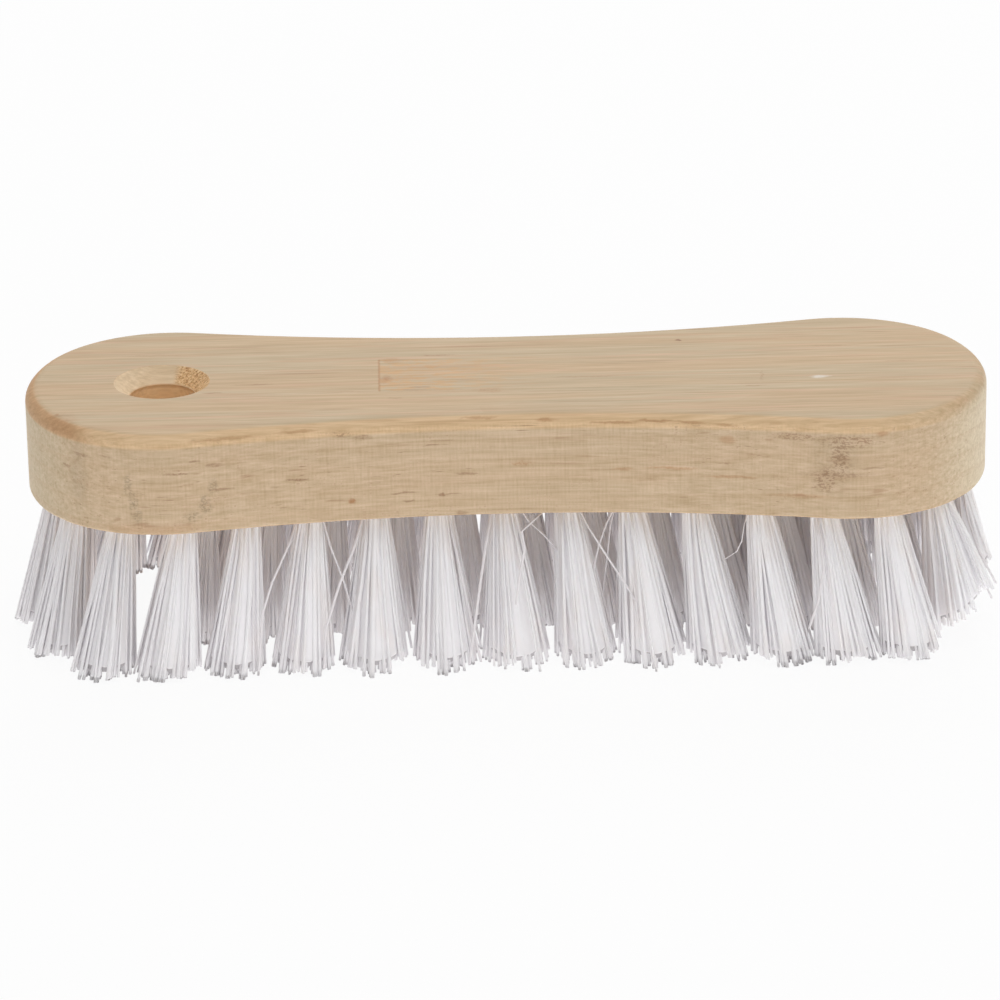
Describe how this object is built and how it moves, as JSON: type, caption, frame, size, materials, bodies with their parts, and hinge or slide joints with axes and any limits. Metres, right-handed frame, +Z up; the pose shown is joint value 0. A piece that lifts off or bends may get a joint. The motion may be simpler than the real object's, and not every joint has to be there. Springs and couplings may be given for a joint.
{
  "type": "scrub brush",
  "caption": "Waisted wooden hand scrub brush with stiff flaring bristle tufts and a countersunk hanging hole.",
  "frame": {"origin": "on the floor under the middle of the brush, at the plane of the trimmed tips", "axes": "+X along the block away from the hanging hole, +Y across it, +Z up from the bristle tips to the flat top of the block"},
  "size_m": [0.1954, 0.0648, 0.0504],
  "materials": {
    "wood": "bare sanded hardwood, matt",
    "bristle": "white extruded plastic strand, slightly translucent, satin",
    "staple_wire": "flat drawn steel wire"
  },
  "bodies": {
    "root": {"block": "wood", "staples": "staple_wire", "tuft_outer_01": "bristle", "tuft_outer_02": "bristle", "tuft_outer_03": "bristle", "tuft_outer_04": "bristle", "tuft_outer_05": "bristle", "tuft_outer_06": "bristle", "tuft_outer_07": "bristle", "tuft_outer_08": "bristle", "tuft_outer_09": "bristle", "tuft_outer_10": "bristle", "tuft_outer_11": "bristle", "tuft_outer_12": "bristle", "tuft_outer_13": "bristle", "tuft_outer_14": "bristle", "tuft_outer_15": "bristle", "tuft_outer_16": "bristle", "tuft_outer_17": "bristle", "tuft_outer_18": "bristle", "tuft_outer_19": "bristle", "tuft_outer_20": "bristle", "tuft_outer_21": "bristle", "tuft_outer_22": "bristle", "tuft_outer_23": "bristle", "tuft_outer_24": "bristle", "tuft_outer_25": "bristle", "tuft_outer_26": "bristle", "tuft_outer_27": "bristle", "tuft_outer_28": "bristle", "tuft_outer_29": "bristle", "tuft_outer_30": "bristle", "tuft_outer_31": "bristle", "tuft_outer_32": "bristle", "tuft_outer_33": "bristle", "tuft_inner_01": "bristle", "tuft_inner_02": "bristle", "tuft_inner_03": "bristle", "tuft_inner_04": "bristle", "tuft_inner_05": "bristle", "tuft_inner_06": "bristle", "tuft_inner_07": "bristle", "tuft_inner_08": "bristle", "tuft_inner_09": "bristle", "tuft_inner_10": "bristle", "tuft_inner_11": "bristle", "tuft_inner_12": "bristle", "tuft_inner_13": "bristle", "tuft_inner_14": "bristle", "tuft_inner_15": "bristle", "tuft_inner_16": "bristle", "tuft_inner_17": "bristle", "tuft_inner_18": "bristle", "tuft_inner_19": "bristle", "tuft_inner_20": "bristle", "tuft_inner_21": "bristle", "tuft_inner_22": "bristle", "tuft_inner_23": "bristle", "tuft_inner_24": "bristle", "tufts_centre": "bristle"}
  },
  "joints": []
}
